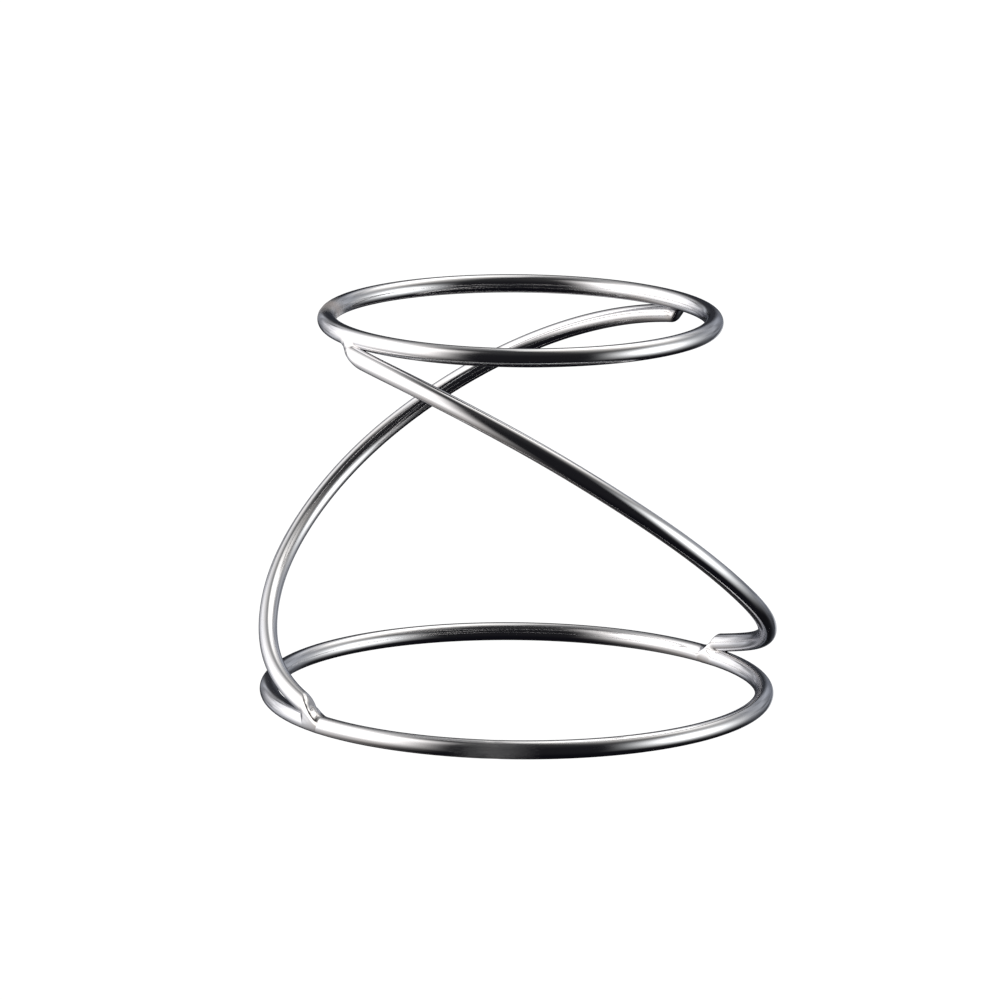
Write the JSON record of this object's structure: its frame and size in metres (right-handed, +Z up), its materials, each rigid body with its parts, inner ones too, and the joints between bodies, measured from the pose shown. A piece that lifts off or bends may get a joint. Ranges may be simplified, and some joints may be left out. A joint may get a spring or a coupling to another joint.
{
  "type": "laboratory wire ring stand",
  "caption": "Low open stand of bent round wire: a small ring carried above a larger base ring by swept legs that wind half way round, to hold a round-bottomed vessel.",
  "frame": {"origin": "centre of the base ring on the ground plane", "axes": "+Z up along the stand's axis from the base ring to the top ring; -Y towards the front, where the front leg crosses from upper left to lower right"},
  "size_m": [0.139, 0.1382, 0.106],
  "materials": {
    "polished_wire": "bright mirror polish over drawn wire",
    "weld_metal": "polished fused weld, slightly uneven"
  },
  "bodies": {
    "root": {"top_ring": "polished_wire", "base_ring": "polished_wire", "front_leg": "polished_wire", "rear_leg": "polished_wire", "weld_top_front": "weld_metal", "weld_top_rear": "weld_metal", "weld_base_right": "weld_metal", "weld_base_left": "weld_metal"}
  },
  "joints": []
}
